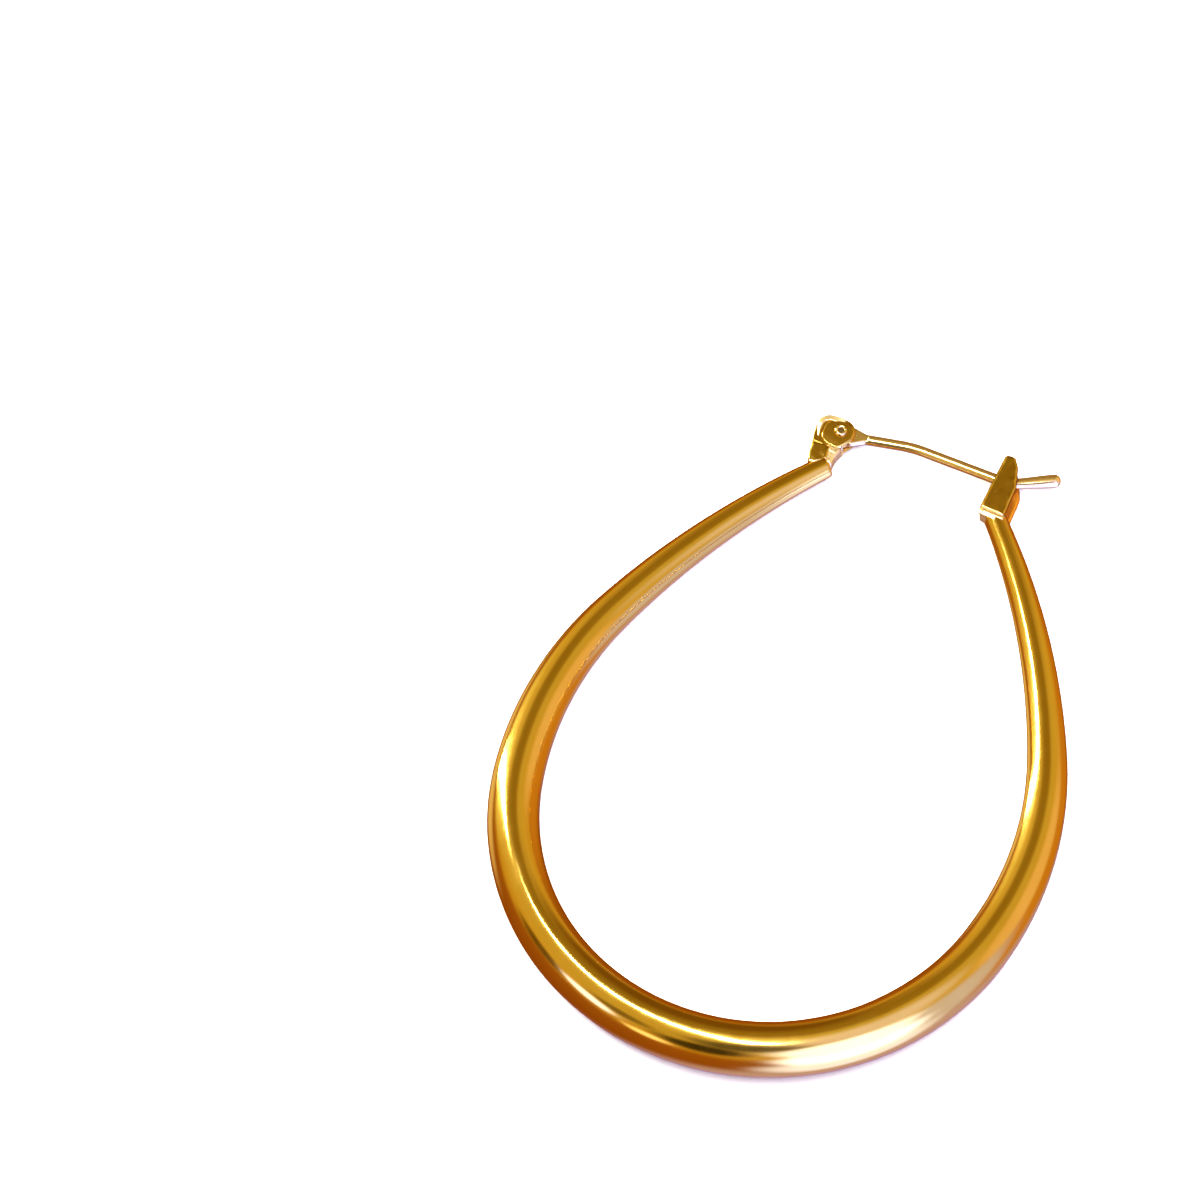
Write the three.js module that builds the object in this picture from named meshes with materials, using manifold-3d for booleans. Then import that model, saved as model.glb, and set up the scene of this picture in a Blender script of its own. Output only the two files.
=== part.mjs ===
// One teardrop hoop earring with a hinged ear wire, lying closed on a flat surface.
// Millimetres, +Z up, +Y towards the closure, origin on the surface under the middle of the earring.
// It is drawn in the plane of the hoop first: x across, y from the lowest point of the centreline
// towards the closure, z out of the plane. The finished earring is then laid down.
import * as THREE from 'three';
import { mergeVertices } from 'three/addons/utils/BufferGeometryUtils.js';
import Module from 'manifold-3d';

const wasm = await Module();
wasm.setup();

// Centreline of the tube: tangent arcs, the same on both sides of the lowest point
const BOWL_RADIUS = 17.45;
const BOWL_TURN = 78;
const SHOULDER_RADIUS = 24.5;
const SHOULDER_TURN = 34.3;
const HINGE_LEG_RADIUS = 58;
const CATCH_LEG_RADIUS = 54;
const HINGE_END_X = 6.35;
const CATCH_END_X = 5.68;

// Tube: oval in the bowl, deeper than it is wide, drawn down to slender round ends, hollow
const TUBE_WIDTH = 3.6;
const TUBE_DEPTH = 4.6;
const END_DIAMETER = 1.55;
const TAPER_START = 21;
const TAPER_POWER = 1.2;
const DEPTH_POWER = 0.7;
const TUBE_WALL = 0.4;
const END_CAP = 0.6;
const VENT_DIAMETER = 0.5;

// Ear wire: round wire with a pressed eye, a kink in the span and a raised tip past the catch
const WIRE_DIAMETER = 0.72;
const TIP_DIAMETER = 0.92;
const TIP_LENGTH = 3.45;
const TIP_ANGLE = 26;
const KINK_SHARE = 0.57;
const KINK_RISE = 0.6;
const BEND_LENGTH = 0.9;
const BEND_INSET = 0.76;
const EYE_RADIUS = 0.85;
const EYE_THICKNESS = 0.62;
const NECK_START = 0.6;
const NECK_LENGTH = 1.3;

// Hinge bracket: two cheeks and a web on the outer side, soldered over the end of the tube
const RIVET_RISE = 2.5;
const HEAD_RADIUS = 0.97;
const CHEEK = 0.32;
const WEB = 0.83;
const BRACKET_LEAN = 0.4;
const BRACKET_FOOT_RIGHT = 0.3;
const BRACKET_NECK = 0.45;
const BRACKET_FOOT_DROP = 0.42;
const BRACKET_TOE_DROP = 0.1;
const BRACKET_CORNER = 0.9;
const BRACKET_HEEL = 0.5;
const EYE_CLEARANCE = 0.1;

// Rivet: tubular, its rolled ends show as small rings
const RIVET_DIAMETER = 0.6;
const RIVET_HEAD_DIAMETER = 0.86;
const RIVET_HEAD_HEIGHT = 0.14;
const RIVET_DIMPLE_DIAMETER = 0.36;
const RIVET_DIMPLE_DEPTH = 0.1;
const RIVET_CLEARANCE = 0.06;

// Catch: folded strip with a floor, a web with an open slot for the wire, and two fingers
const CATCH_SHEET = 0.3;
const CATCH_FLOOR = 0.5;
const CATCH_FOOT_DROP = 0.25;
const CATCH_LEFT = 1.08;
const CATCH_RIGHT = 0.85;
const CATCH_SHOULDER = 2;
const CATCH_LEAN = 0.14;
const FINGER_WIDTH = 1.15;
const FINGER_ROUND = 0.62;
const FINGER_RISE = 1.6;
const WIRE_RISE = 2.76;
const WIRE_SIDE_CLEARANCE = 0.12;
const WIRE_FLOOR_CLEARANCE = 0.12;
const LIP = 0.1;

// Edges and facets
const EDGE = 0.09;
const TUBE_STATIONS = 84;
const TUBE_SIDES = 24;
const BORE_STATIONS = 56;
const BORE_SIDES = 16;
const WIRE_STATIONS = 40;
const WIRE_SIDES = 16;
const ROUND_SIDES = 24;
const CURVE_STEPS = 6;

const radians = THREE.MathUtils.degToRad;
const point = (x, y) => new THREE.Vector2(x, y);

// A closed solid from a three.js geometry: shared corners merged, collapsed triangles dropped
function solid(geometry) {
  const bare = geometry.clone();
  bare.deleteAttribute('normal');
  bare.deleteAttribute('uv');
  const merged = mergeVertices(bare);
  const index = merged.index.array;
  const kept = [];
  for (let i = 0; i < index.length; i += 3) {
    const [a, b, c] = [index[i], index[i + 1], index[i + 2]];
    if (a !== b && b !== c && c !== a) kept.push(a, b, c);
  }
  return new wasm.Manifold(new wasm.Mesh({
    numProp: 3,
    vertProperties: Float32Array.from(merged.attributes.position.array),
    triVerts: Uint32Array.from(kept),
  }));
}

// A box given by its lowest and highest corner
function box(low, high) {
  const geometry = new THREE.BoxGeometry(high[0] - low[0], high[1] - low[1], high[2] - low[2]);
  geometry.translate((low[0] + high[0]) / 2, (low[1] + high[1]) / 2, (low[2] + high[2]) / 2);
  return solid(geometry);
}

// A round bar between two points
function bar(from, to, radius) {
  const along = new THREE.Vector3().subVectors(to, from);
  const geometry = new THREE.CylinderGeometry(radius, radius, along.length(), ROUND_SIDES);
  geometry.applyQuaternion(new THREE.Quaternion().setFromUnitVectors(
    new THREE.Vector3(0, 1, 0), along.clone().normalize()));
  geometry.translate((from.x + to.x) / 2, (from.y + to.y) / 2, (from.z + to.z) / 2);
  return solid(geometry);
}

// A flat outline made into a plate centred on the plane of the hoop, its edges eased by the bevel
function plate(shape, thickness, edge = 0) {
  const geometry = new THREE.ExtrudeGeometry(shape, {
    depth: thickness - 2 * edge,
    curveSegments: CURVE_STEPS,
    bevelEnabled: edge > 0,
    bevelThickness: edge,
    bevelSize: edge,
    bevelOffset: -edge,
    bevelSegments: 2,
  });
  geometry.translate(0, 0, edge - thickness / 2);
  return solid(geometry);
}

// A bar of changing radius, turned straight along y and then bent along a flat curve. Its depth is depthAt
// times its width.
function bentBar(curve, radiusAt, from, to, stations, sides, depthAt = () => 1) {
  const profile = [point(0, from)];
  for (let i = 0; i <= stations; i++) {
    const s = from + (to - from) * i / stations;
    profile.push(point(radiusAt(s), s));
  }
  if (profile.at(-1).x > 0) profile.push(point(0, to));
  const geometry = new THREE.LatheGeometry(profile, sides);
  geometry.deleteAttribute('normal');
  geometry.deleteAttribute('uv');
  const straight = mergeVertices(geometry);
  const spots = straight.attributes.position;
  const length = curve.getLength();
  for (let i = 0; i < spots.count; i++) {
    const share = THREE.MathUtils.clamp(spots.getY(i) / length, 0, 1);
    const centre = curve.getPoint(share);
    const along = curve.getTangent(share);
    const across = spots.getX(i);
    spots.setXYZ(i, centre.x + along.y * across, centre.y - along.x * across,
      spots.getZ(i) * depthAt(share * length));
  }
  return solid(straight);
}

// One arm of the centreline, from the lowest point to where it reaches endX
function armArcs(endX, legRadius) {
  const arcs = [];
  const rows = [[BOWL_RADIUS, BOWL_TURN], [SHOULDER_RADIUS, SHOULDER_TURN], [legRadius, null]];
  let heading = 0;
  let spot = point(0, 0);
  for (const [radius, turn] of rows) {
    const centre = point(spot.x - radius * Math.sin(heading), spot.y + radius * Math.cos(heading));
    const reach = Math.PI - Math.asin((endX - centre.x) / radius);
    const next = turn === null ? reach : heading + radians(turn);
    arcs.push({ centre, radius, from: heading, to: next });
    heading = next;
    spot = point(centre.x + radius * Math.sin(heading), centre.y - radius * Math.cos(heading));
  }
  return { arcs, end: spot, length: arcs.reduce((sum, a) => sum + a.radius * (a.to - a.from), 0) };
}

const hingeArm = armArcs(HINGE_END_X, HINGE_LEG_RADIUS);
const catchArm = armArcs(CATCH_END_X, CATCH_LEG_RADIUS);
const hingeEnd = point(-hingeArm.end.x, hingeArm.end.y);
const catchEnd = catchArm.end;
const rivetSpot = point(hingeEnd.x, hingeEnd.y + RIVET_RISE);
const wireY = catchEnd.y + WIRE_RISE;

// The whole centreline, from the hinge end round the bowl to the catch end
function centreline() {
  const curve = new THREE.CurvePath();
  const quarter = Math.PI / 2;
  for (const { centre, radius, from, to } of [...hingeArm.arcs].reverse()) {
    curve.add(new THREE.ArcCurve(-centre.x, centre.y, radius, 3 * quarter - to, 3 * quarter - from, false));
  }
  for (const { centre, radius, from, to } of catchArm.arcs) {
    curve.add(new THREE.ArcCurve(centre.x, centre.y, radius, from - quarter, to - quarter, false));
  }
  return curve;
}

// Half the tube's width and half its depth at a distance from its hinge end
function tubeHalves(s) {
  const reach = s - hingeArm.length;
  const arm = reach < 0 ? hingeArm.length : catchArm.length;
  const share = Math.max(0, Math.abs(reach) - TAPER_START) / (arm - TAPER_START);
  return [
    THREE.MathUtils.lerp(TUBE_WIDTH, END_DIAMETER, share ** TAPER_POWER) / 2,
    THREE.MathUtils.lerp(TUBE_DEPTH, END_DIAMETER, share ** DEPTH_POWER) / 2,
  ];
}

// Bracket outline: rounded head over the rivet, leaning web side, foot over the tube's end
const webFace = rivetSpot.x - EYE_RADIUS - EYE_CLEARANCE;
function bracketOutline() {
  const left = webFace - WEB;
  const top = rivetSpot.y + HEAD_RADIUS;
  const heel = left + BRACKET_LEAN;
  const foot = hingeEnd.y - BRACKET_FOOT_DROP;
  const shape = new THREE.Shape();
  shape.moveTo(hingeEnd.x + BRACKET_FOOT_RIGHT, hingeEnd.y - BRACKET_TOE_DROP);
  shape.lineTo(hingeEnd.x + BRACKET_FOOT_RIGHT, hingeEnd.y + BRACKET_NECK);
  shape.absarc(rivetSpot.x, rivetSpot.y, HEAD_RADIUS, -Math.PI / 4, Math.PI / 2, false);
  shape.absarc(left + BRACKET_CORNER, top - BRACKET_CORNER, BRACKET_CORNER, Math.PI / 2, Math.PI, false);
  shape.lineTo(heel, foot + BRACKET_HEEL);
  shape.quadraticCurveTo(heel, foot, heel + BRACKET_HEEL, foot);
  return shape;
}

// Space between the cheeks: open above and towards the wire, round below the eye
function bracketSlot(radius, reach) {
  const shape = new THREE.Shape();
  shape.moveTo(rivetSpot.x + reach, rivetSpot.y - radius);
  shape.lineTo(rivetSpot.x + reach, rivetSpot.y + reach);
  shape.lineTo(rivetSpot.x - radius, rivetSpot.y + reach);
  shape.lineTo(rivetSpot.x - radius, rivetSpot.y);
  shape.absarc(rivetSpot.x, rivetSpot.y, radius, Math.PI, 1.5 * Math.PI, false);
  return shape;
}

function hingeBracket() {
  const gap = EYE_THICKNESS + 2 * EYE_CLEARANCE;
  const slot = plate(bracketSlot(EYE_RADIUS + EYE_CLEARANCE, 3 * HEAD_RADIUS), gap);
  return plate(bracketOutline(), bracketWidth, EDGE).subtract(slot).subtract(rivetBore());
}

const bracketWidth = EYE_THICKNESS + 2 * EYE_CLEARANCE + 2 * CHEEK;
function rivetBore() {
  const radius = RIVET_DIAMETER / 2 + RIVET_CLEARANCE;
  return bar(new THREE.Vector3(rivetSpot.x, rivetSpot.y, -bracketWidth),
    new THREE.Vector3(rivetSpot.x, rivetSpot.y, bracketWidth), radius);
}

// Catch outline: broad foot, shoulder on the outer side, finger rising past the wire
const lean = CATCH_LEAN / WIRE_RISE;
const catchFoot = catchEnd.y - CATCH_FOOT_DROP;
const catchLeft = (y) => catchEnd.x - CATCH_LEFT + lean * (y - catchFoot);
const fingerTop = wireY + FINGER_RISE;
function catchOutline() {
  const round = FINGER_ROUND;
  const small = FINGER_WIDTH - round;
  const right = catchEnd.x + CATCH_RIGHT;
  const left = catchLeft(fingerTop);
  const shape = new THREE.Shape();
  shape.moveTo(catchLeft(catchFoot), catchFoot);
  shape.lineTo(right, catchFoot);
  shape.lineTo(right, catchEnd.y + CATCH_SHOULDER);
  shape.quadraticCurveTo(right - EDGE, wireY, left + FINGER_WIDTH, fingerTop - round);
  shape.quadraticCurveTo(left + FINGER_WIDTH, fingerTop, left + small, fingerTop);
  shape.quadraticCurveTo(left, fingerTop, left, fingerTop - small);
  return shape;
}

// Channel between the cheeks, open above and outwards, behind the web
function catchChannel(gap) {
  const floor = catchFoot + CATCH_FLOOR;
  const far = fingerTop + CATCH_SHEET;
  const shape = new THREE.Shape();
  shape.moveTo(catchLeft(floor) + CATCH_SHEET, floor);
  shape.lineTo(catchEnd.x + 2 * CATCH_LEFT, floor);
  shape.lineTo(catchEnd.x + 2 * CATCH_LEFT, far);
  shape.lineTo(catchLeft(far) + CATCH_SHEET, far);
  return plate(shape, gap);
}

const wireSlot = Math.max(WIRE_DIAMETER, TIP_DIAMETER) + 2 * WIRE_SIDE_CLEARANCE;
const catchGap = wireSlot + 2 * LIP;
const slotFloor = wireY - WIRE_DIAMETER / 2 - WIRE_FLOOR_CLEARANCE;
function catchPiece() {
  const slot = box(
    [catchEnd.x - 2 * CATCH_LEFT, slotFloor, -wireSlot / 2],
    [catchEnd.x + 2 * CATCH_LEFT, fingerTop + CATCH_SHEET, wireSlot / 2]);
  const block = plate(catchOutline(), catchGap + 2 * CATCH_SHEET, EDGE);
  return block.subtract(catchChannel(catchGap)).subtract(slot);
}

// Tube, bracket and catch soldered into one solid, hollow along the tube
function hoop() {
  const curve = centreline();
  const length = hingeArm.length + catchArm.length;
  const halves = (s, wall) => tubeHalves(s).map((half) => half - wall);
  const depth = (s, wall) => halves(s, wall)[1] / halves(s, wall)[0];
  const tube = bentBar(curve, (s) => halves(s, 0)[0], 0, length, TUBE_STATIONS, TUBE_SIDES,
    (s) => depth(s, 0));
  const bore = bentBar(curve, (s) => halves(s, TUBE_WALL)[0], END_CAP, length - END_CAP,
    BORE_STATIONS, BORE_SIDES, (s) => depth(s, TUBE_WALL));
  const boreEnd = curve.getPoint((END_CAP + VENT_DIAMETER) / length);
  const vent = bar(new THREE.Vector3(boreEnd.x, boreEnd.y, 0),
    new THREE.Vector3(rivetSpot.x, rivetSpot.y - EYE_RADIUS, 0), VENT_DIAMETER / 2);
  return tube.add(hingeBracket()).add(catchPiece()).subtract(bore).subtract(vent);
}

// Centreline of the ear wire: eye, kinked span, seat in the catch, raised tip
function wireCurve() {
  const seat = point(catchEnd.x - CATCH_LEFT + CATCH_SHEET + CATCH_LEAN, wireY);
  const bend = point(catchEnd.x + CATCH_RIGHT - BEND_INSET, wireY);
  const eye = rivetSpot;
  const kink = point(THREE.MathUtils.lerp(seat.x, eye.x, KINK_SHARE),
    THREE.MathUtils.lerp(seat.y, eye.y, KINK_SHARE) + KINK_RISE);
  const tip = point(bend.x + TIP_LENGTH * Math.cos(radians(TIP_ANGLE)),
    bend.y + TIP_LENGTH * Math.sin(radians(TIP_ANGLE)));
  const corners = [eye, kink, seat, bend, tip];
  const curve = new THREE.CurvePath();
  let start = eye;
  for (let i = 1; i < corners.length - 1; i++) {
    const room = Math.min(BEND_LENGTH, corners[i].distanceTo(corners[i - 1]) / 2,
      corners[i].distanceTo(corners[i + 1]) / 2);
    const before = corners[i].clone().lerp(corners[i - 1], room / corners[i].distanceTo(corners[i - 1]));
    const after = corners[i].clone().lerp(corners[i + 1], room / corners[i].distanceTo(corners[i + 1]));
    curve.add(new THREE.LineCurve(start, before));
    curve.add(new THREE.QuadraticBezierCurve(before, corners[i], after));
    start = after;
  }
  curve.add(new THREE.LineCurve(start, tip));
  return curve;
}

// Wire with its flared neck and rounded tip, pressed flat at the eye, which is drilled for the rivet
function earWire() {
  const curve = wireCurve();
  const length = curve.getLength();
  const round = TIP_DIAMETER / 2;
  const swell = length - TIP_LENGTH;
  const radiusAt = (s) => {
    const neck = 1 - THREE.MathUtils.smoothstep(s, NECK_START, NECK_START + NECK_LENGTH);
    const tip = THREE.MathUtils.smoothstep(s, swell, length - round);
    const body = WIRE_DIAMETER / 2 + neck * (EYE_RADIUS - WIRE_DIAMETER / 2)
      + tip * (TIP_DIAMETER - WIRE_DIAMETER) / 2;
    const past = Math.max(0, (s - (length - round)) / round);
    return body * Math.sqrt(Math.max(0, 1 - past * past));
  };
  const wire = bentBar(curve, radiusAt, NECK_START, length, WIRE_STATIONS, WIRE_SIDES);
  const reach = NECK_START + NECK_LENGTH;
  const press = [EYE_RADIUS + reach, EYE_RADIUS + reach, 2 * EYE_RADIUS];
  const low = [rivetSpot.x - press[0], rivetSpot.y - press[1]];
  const high = [rivetSpot.x + reach, rivetSpot.y + press[1]];
  const above = box([...low, EYE_THICKNESS / 2], [...high, press[2]]);
  const below = box([...low, -press[2]], [...high, -EYE_THICKNESS / 2]);
  const eye = bar(new THREE.Vector3(rivetSpot.x, rivetSpot.y, -EYE_THICKNESS / 2),
    new THREE.Vector3(rivetSpot.x, rivetSpot.y, EYE_THICKNESS / 2), EYE_RADIUS);
  return wire.subtract(above).subtract(below).add(eye).subtract(rivetBore());
}

// Tubular rivet: shank through eye and cheeks, a dimpled head at each end
function hingeRivet() {
  const seat = bracketWidth / 2 + RIVET_CLEARANCE;
  const top = seat + RIVET_HEAD_HEIGHT;
  const shank = RIVET_DIAMETER / 2;
  const head = RIVET_HEAD_DIAMETER / 2;
  const dimple = RIVET_DIMPLE_DIAMETER / 2;
  const half = [[dimple, top - RIVET_DIMPLE_DEPTH], [(dimple + head) / 2, top],
    [head, top - RIVET_HEAD_HEIGHT / 2], [head, seat], [shank, seat]];
  const profile = [point(0, half[0][1]), ...half.map(([x, y]) => point(x, y)),
    ...half.reverse().map(([x, y]) => point(x, -y)), point(0, -half.at(-1)[1])];
  const geometry = new THREE.LatheGeometry(profile.reverse(), ROUND_SIDES);
  geometry.rotateX(Math.PI / 2);
  geometry.translate(rivetSpot.x, rivetSpot.y, 0);
  return solid(geometry);
}

const GOLD = { metalness: 1, roughness: 0.16 };
const materials = {
  hoop: new THREE.MeshStandardMaterial({ ...GOLD, color: 0xd9a03c }),
  ear_wire: new THREE.MeshStandardMaterial({ ...GOLD, color: 0xe0b050 }),
  hinge_rivet: new THREE.MeshStandardMaterial({ ...GOLD, color: 0xd8aa50 }),
};

function piece(name, body) {
  const cut = body.getMesh();
  const geometry = new THREE.BufferGeometry();
  geometry.setAttribute('position', new THREE.BufferAttribute(Float32Array.from(cut.vertProperties), 3));
  geometry.setIndex(new THREE.BufferAttribute(Uint32Array.from(cut.triVerts), 1));
  geometry.computeVertexNormals();
  const mesh = new THREE.Mesh(geometry, materials[name]);
  mesh.name = name;
  return mesh;
}

// Lowest height of the earring over a floor that slopes by rise along y, among corners with y in a range
function lowest(group, slope, from, to) {
  let least = Infinity;
  for (const mesh of group.children) {
    const spots = mesh.geometry.attributes.position;
    for (let i = 0; i < spots.count; i++) {
      const y = spots.getY(i);
      if (y >= from && y <= to) least = Math.min(least, spots.getZ(i) - slope * y);
    }
  }
  return least;
}

// The thick bowl and the thin closure both touch the floor, so the closure's end lies lower
function restingSlope(group) {
  const split = (BOWL_RADIUS + hingeEnd.y) / 2;
  let low = -0.2;
  let high = 0.2;
  for (let i = 0; i < 40; i++) {
    const slope = (low + high) / 2;
    const bowlIsLower = lowest(group, slope, -Infinity, split) < lowest(group, slope, split, Infinity);
    if (bowlIsLower) low = slope;
    else high = slope;
  }
  return (low + high) / 2;
}

const drawn = new THREE.Group();
drawn.add(piece('hoop', hoop()), piece('ear_wire', earWire()), piece('hinge_rivet', hingeRivet()));
drawn.rotation.x = -Math.atan(restingSlope(drawn));
drawn.updateMatrixWorld(true);
const extent = new THREE.Box3().setFromObject(drawn, true);
drawn.position.set(-(extent.min.x + extent.max.x) / 2, -(extent.min.y + extent.max.y) / 2, -extent.min.z);

const group = new THREE.Group();
group.add(drawn);
export default group;
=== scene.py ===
"""Looks of the hoop earring: a polished, gold coloured teardrop hoop lying on a pale surface.

Every shape is drawn in the plane of the hoop, in millimetres: x across, y from the lowest point of the
centreline towards the closure, z out of the plane. Layout.to_row lays it down in the row frame.
"""

import logging
import math
from dataclasses import dataclass
from enum import Enum

import bpy
import numpy as np
from mathutils import Matrix, Vector

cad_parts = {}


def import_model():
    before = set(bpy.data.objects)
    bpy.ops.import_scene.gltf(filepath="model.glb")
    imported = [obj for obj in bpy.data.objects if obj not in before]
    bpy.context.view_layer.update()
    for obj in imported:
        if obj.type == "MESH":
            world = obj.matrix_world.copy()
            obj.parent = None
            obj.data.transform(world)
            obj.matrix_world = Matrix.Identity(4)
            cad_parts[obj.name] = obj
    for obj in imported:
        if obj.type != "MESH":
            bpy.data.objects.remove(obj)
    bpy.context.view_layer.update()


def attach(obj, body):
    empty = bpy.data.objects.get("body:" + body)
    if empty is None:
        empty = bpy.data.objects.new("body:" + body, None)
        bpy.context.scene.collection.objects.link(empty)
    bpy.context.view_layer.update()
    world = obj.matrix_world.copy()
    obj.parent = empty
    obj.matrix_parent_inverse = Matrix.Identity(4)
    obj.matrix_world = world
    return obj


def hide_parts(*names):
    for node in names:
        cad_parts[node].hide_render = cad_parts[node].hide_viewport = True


Tone = tuple[float, float, float]
Corner = tuple[float, float, float]
Spot = tuple[float, float]
Thing = bpy.types.Object
Socket = bpy.types.NodeSocket
Tree = bpy.types.NodeTree

MM = 0.001
LOG = logging.getLogger("earring")

# The rings of a plate's face from its heart to its edge, the length and direction of its dents in
# millimetres, and the scale and detail of a finish's noises.
RING_SHARES = (0.06, 0.2, 0.4, 0.6, 0.75, 0.87, 0.95, 1.0)
DENT_LENGTH = 0.7
DENT_PUSH = (0.4, 0.4, 1.0)
NOISES = {"tone": (260.0, 3.0), "gloss": (900.0, 4.0), "wave": (420.0, 1.0), "grain": (5200.0, 2.0),
          "lines": (1.0, 2.0)}


class Body(Enum):
    """The CAD bodies that pieces ride on."""
    HOOP = "hoop"
    WIRE = "ear_wire"


class Ends(Enum):
    """How a grid of points closes across its rows."""
    POLES = "poles"
    RING = "ring"


@dataclass(frozen=True)
class Layout:
    """Where the earring lies: the plane of the hoop slopes down a little towards the closure."""
    slope_deg: float = 2.017072
    shift: tuple[float, float, float] = (0.001124, -23.415581, 2.683343)

    def turn(self) -> np.ndarray:
        """The turn about x that lays the plane of the hoop down.

        Returns:
            A 3 x 3 matrix for column vectors.
        """
        c, s = math.cos(math.radians(self.slope_deg)), math.sin(math.radians(self.slope_deg))
        return np.array([[1, 0, 0], [0, c, s], [0, -s, c]])

    def to_row(self, points: np.ndarray) -> np.ndarray:
        """Takes points from the plane of the hoop to the row frame: turned about x, then shifted.

        Args:
            points: Points in the last axis, millimetres.

        Returns:
            The same points in the row frame, metres.
        """
        return (points @ self.turn().T + np.array(self.shift)) * MM


LAYOUT = Layout()


def smoothstep(values: np.ndarray, start: float, end: float) -> np.ndarray:
    """Rises from 0 at start to 1 at end as 3t squared less 2t cubed.

    Args:
        values: Where to evaluate.
        start: Last value that gives 0.
        end: First value that gives 1.

    Returns:
        The eased shares.
    """
    t = np.clip((values - start) / (end - start), 0, 1)
    return t * t * (3 - 2 * t)


def ripple(points: np.ndarray, length: float, seed: int, waves: int = 14) -> np.ndarray:
    """A smooth random field: a mean of sine waves of about one length in random directions.

    Args:
        points: Points in the last axis, millimetres.
        length: Mean wavelength, millimetres.
        seed: Picks the directions and phases.
        waves: Number of waves.

    Returns:
        Values between about -1 and 1, one for each point.
    """
    rng = np.random.default_rng(seed)
    directions = rng.normal(size=(waves, 3))
    directions /= np.linalg.norm(directions, axis=1, keepdims=True)
    numbers = 2 * math.pi / length * rng.uniform(0.6, 1.5, size=waves)
    phases = rng.uniform(0, 2 * math.pi, size=waves)
    return np.sin(points @ (directions * numbers[:, None]).T + phases).mean(axis=-1) * 1.8


def put_mesh(name: str, grid: np.ndarray, ends: Ends = Ends.POLES) -> Thing:
    """Makes a closed mesh from a grid of points whose columns close on themselves.

    Rows either end in one pole each, the mean of the outermost row, or close on themselves as well.
    The UV map holds millimetres along the rows and round the columns.

    Args:
        name: Name of the object.
        grid: Rows x columns x 3, in the plane of the hoop, millimetres.
        ends: How the rows close.

    Returns:
        The object, at the origin.
    """
    rows, columns = grid.shape[:2]
    points = grid.reshape(-1, 3)
    steps = np.linalg.norm(np.diff(grid, axis=0), axis=2).mean(axis=1)
    along = np.concatenate([[0.0], np.cumsum(steps)])
    girth = np.linalg.norm(grid - np.roll(grid, 1, axis=1), axis=2).sum(axis=1).mean()
    span = rows if ends is Ends.RING else rows - 1
    i, j = [a.ravel() for a in np.meshgrid(np.arange(span), np.arange(columns), indexing="ij")]
    corner_rows = np.stack([i, i, i + 1, i + 1], axis=1)
    corner_columns = np.stack([j, j + 1, j + 1, j], axis=1)
    quads = (corner_rows % rows) * columns + corner_columns % columns
    reach = np.append(along, 2 * along[-1] - along[-2])
    uv = np.stack([reach[corner_rows], corner_columns * girth / columns], axis=2).reshape(-1, 2)
    faces = quads.tolist()
    if ends is Ends.POLES:
        ring = np.arange(columns)
        after = (ring + 1) % columns
        first, last = len(points), len(points) + 1
        points = np.concatenate([points, grid[:1].mean(axis=1), grid[-1:].mean(axis=1)])
        low = np.stack([np.full(columns, first), after, ring], axis=1)
        high = np.stack([np.full(columns, last), ring, after], axis=1) + [0, *[(rows - 1) * columns] * 2]
        faces += low.tolist() + high.tolist()
        turns = np.stack([ring + 0.5, ring + 1, ring], axis=1) * girth / columns
        low_uv = np.stack([np.full((columns, 3), along[0]), turns], axis=2).reshape(-1, 2)
        high_uv = np.stack([np.full((columns, 3), along[-1]), turns[:, [0, 2, 1]]], axis=2).reshape(-1, 2)
        uv = np.concatenate([uv, low_uv, high_uv])
    mesh = bpy.data.meshes.new(name)
    mesh.from_pydata(LAYOUT.to_row(points).tolist(), [], faces)
    mesh.polygons.foreach_set("use_smooth", np.ones(len(faces), bool))
    layer = mesh.uv_layers.new(name="millimetres")
    layer.data.foreach_set("uv", uv.astype(np.float32).ravel())
    corners = points[quads]
    normals = np.cross(corners[:, 2] - corners[:, 0], corners[:, 3] - corners[:, 1])
    if (corners.mean(axis=1) * normals).sum() < 0:
        mesh.flip_normals()
    mesh.update()
    thing = bpy.data.objects.new(name, mesh)
    bpy.context.scene.collection.objects.link(thing)
    return thing
def lengths(path: np.ndarray) -> np.ndarray:
    """Distances along a path.

    Args:
        path: Its points.

    Returns:
        The distance of each point from the first.
    """
    return np.concatenate([[0.0], np.cumsum(np.linalg.norm(np.diff(path, axis=0), axis=1))])


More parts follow.
